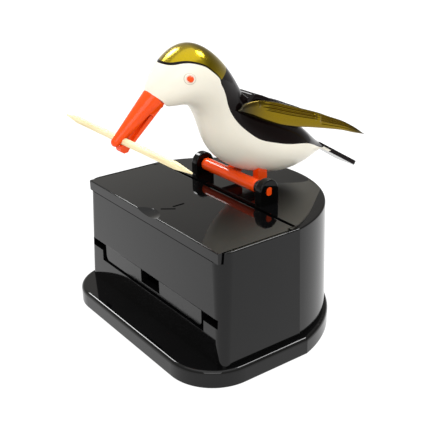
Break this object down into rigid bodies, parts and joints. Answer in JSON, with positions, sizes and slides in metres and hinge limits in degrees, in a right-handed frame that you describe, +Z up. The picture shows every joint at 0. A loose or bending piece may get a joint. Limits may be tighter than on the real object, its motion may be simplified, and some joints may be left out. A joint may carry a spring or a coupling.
{
  "type": "toothpick dispenser",
  "caption": "Desk toothpick dispenser: a sprung bird figure on a perch bows over a lidded box and picks up a toothpick in its beak.",
  "frame": {"origin": "middle of the base tray's footprint, on the table", "axes": "+Z up; the bird faces -Y; +X is the bird's left"},
  "size_m": [0.0768, 0.0897, 0.0842],
  "materials": {
    "tray_black": "polished black moulding",
    "box_black": "polished black moulding",
    "inner_black": "plain black moulding",
    "lid_black": "mirror-polished black",
    "flap_black": "polished black",
    "deck_black": "mirror-polished black",
    "post_black": "polished black",
    "screw_steel": "zinc plated",
    "spring_steel": "bright drawn wire",
    "perch_orange": "moulded orange-red",
    "beak_orange": "moulded orange-red",
    "eye_orange": "moulded orange-red",
    "belly_ivory": "moulded ivory white",
    "back_black": "polished black",
    "crown_gold": "metallic olive-gold paint",
    "wing_gold": "metallic olive-gold paint outside, black inside",
    "pick_wood": "plain sanded"
  },
  "bodies": {
    "box": {"base_tray": "tray_black", "base_screws": "screw_steel", "body_shell": "box_black", "hopper_floor": "inner_black", "rear_deck": "deck_black", "perch_post_left": "post_black", "perch_post_right": "post_black", "return_spring": "spring_steel"},
    "lid": {"lid": "lid_black"},
    "flap": {"slot_flap": "flap_black"},
    "bird": {"perch_yoke": "perch_orange", "belly_shell": "belly_ivory", "back_shell": "back_black", "crown_cap": "crown_gold", "eye_left": "eye_orange", "eye_right": "eye_orange", "upper_beak": "beak_orange", "beak_pin": "spring_steel", "beak_spring": "spring_steel"},
    "jaw": {"lower_beak": "beak_orange"},
    "left_wing": {"wing_left": "wing_gold"},
    "right_wing": {"wing_right": "wing_gold"},
    "pick": {"toothpick": "pick_wood"}
  },
  "joints": [
    {"name": "lid_hinge", "type": "hinge", "parent": "box", "child": "lid", "pos_m": [0, 0.00175, 0.037], "axis": [-1, 0, 0], "range_deg": [0, 60]},
    {"name": "flap_hinge", "type": "hinge", "parent": "box", "child": "flap", "pos_m": [0, -0.0223, 0.0195], "axis": [1, 0, 0], "range_deg": [0, 35]},
    {"name": "bird_bow", "type": "hinge", "parent": "box", "child": "bird", "pos_m": [0, 0.00725, 0.0423], "axis": [-1, 0, 0], "range_deg": [-61, 0], "stiffness_Nm_per_rad": 0.004, "springref_deg": 20.05, "deforming": ["return_spring"]},
    {"name": "jaw_hinge", "type": "hinge", "parent": "bird", "child": "jaw", "pos_m": [0, -0.01915, 0.069], "axis": [1, 0, 0], "range_deg": [0, 10], "stiffness_Nm_per_rad": 0.002, "springref_deg": -14.32, "deforming": ["beak_spring"]},
    {"name": "pick_pull", "type": "slide", "parent": "bird", "child": "pick", "axis": [1, 0, 0], "range_m": [0, 0.036]},
    {"name": "left_wing_swing", "type": "hinge", "parent": "bird", "child": "left_wing", "pos_m": [0, 0.00945, 0.0644], "axis": [1, 0, 0], "range_deg": [0, 12]},
    {"name": "right_wing_swing", "type": "hinge", "parent": "bird", "child": "right_wing", "pos_m": [0, 0.00945, 0.0644], "axis": [1, 0, 0], "range_deg": [0, 12]}
  ]
}
